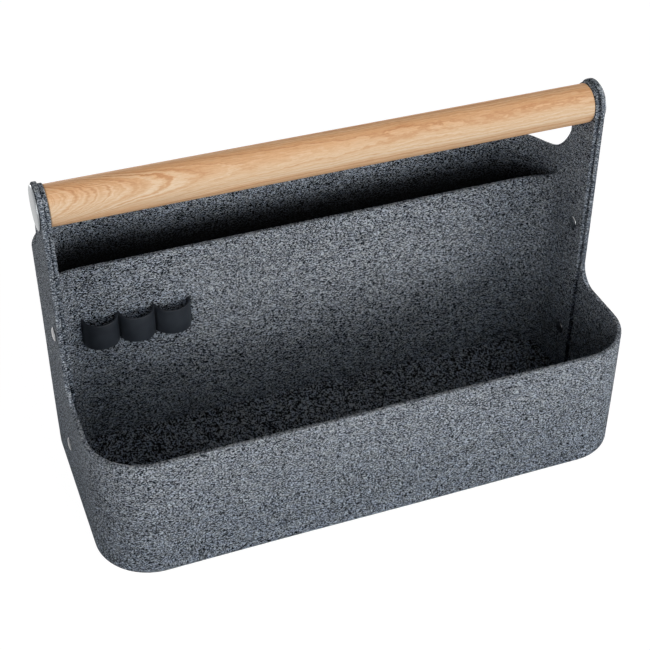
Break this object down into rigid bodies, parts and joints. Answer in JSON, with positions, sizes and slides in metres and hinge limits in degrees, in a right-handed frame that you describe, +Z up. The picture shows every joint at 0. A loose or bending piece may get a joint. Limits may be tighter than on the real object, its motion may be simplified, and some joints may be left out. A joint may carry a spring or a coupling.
{
  "type": "portable desk organizer",
  "caption": "Felt desk caddy with a low front compartment, a tall rear pocket, pen loops on the divider and a round wooden carrying handle clamped between two felt ears.",
  "frame": {"origin": "on the floor, below the middle of the plan", "axes": "+X along the handle to the right, -Y towards the low front wall, +Z up"},
  "size_m": [0.4044, 0.195, 0.2589],
  "materials": {
    "felt_outer": "stiff heather felt, charcoal and light grey fibres, matte",
    "felt_inner": "stiff heather felt, charcoal and light grey fibres, matte",
    "felt_base": "stiff heather felt, charcoal and light grey fibres, matte",
    "handle_wood": "turned light hardwood with cathedral grain, satin clear coat",
    "bright_metal": "smooth bright metal, satin to polished",
    "insert_brass": "turned",
    "loop_black": "smooth matte black moulding"
  },
  "bodies": {
    "root": {"outer_shell": "felt_outer", "inner_panel": "felt_inner", "base_panel": "felt_base", "handle_bar": "handle_wood", "handle_insert_left": "insert_brass", "handle_insert_right": "insert_brass", "handle_disc_left": "bright_metal", "handle_disc_right": "bright_metal", "rivet_head_left_lower": "bright_metal", "rivet_head_left_upper": "bright_metal", "rivet_head_right_lower": "bright_metal", "rivet_head_right_upper": "bright_metal", "rivet_cap_left_lower": "bright_metal", "rivet_cap_left_upper": "bright_metal", "rivet_cap_right_lower": "bright_metal", "rivet_cap_right_upper": "bright_metal", "pen_loop_strip": "loop_black", "pen_loop_backing": "loop_black"}
  },
  "joints": []
}
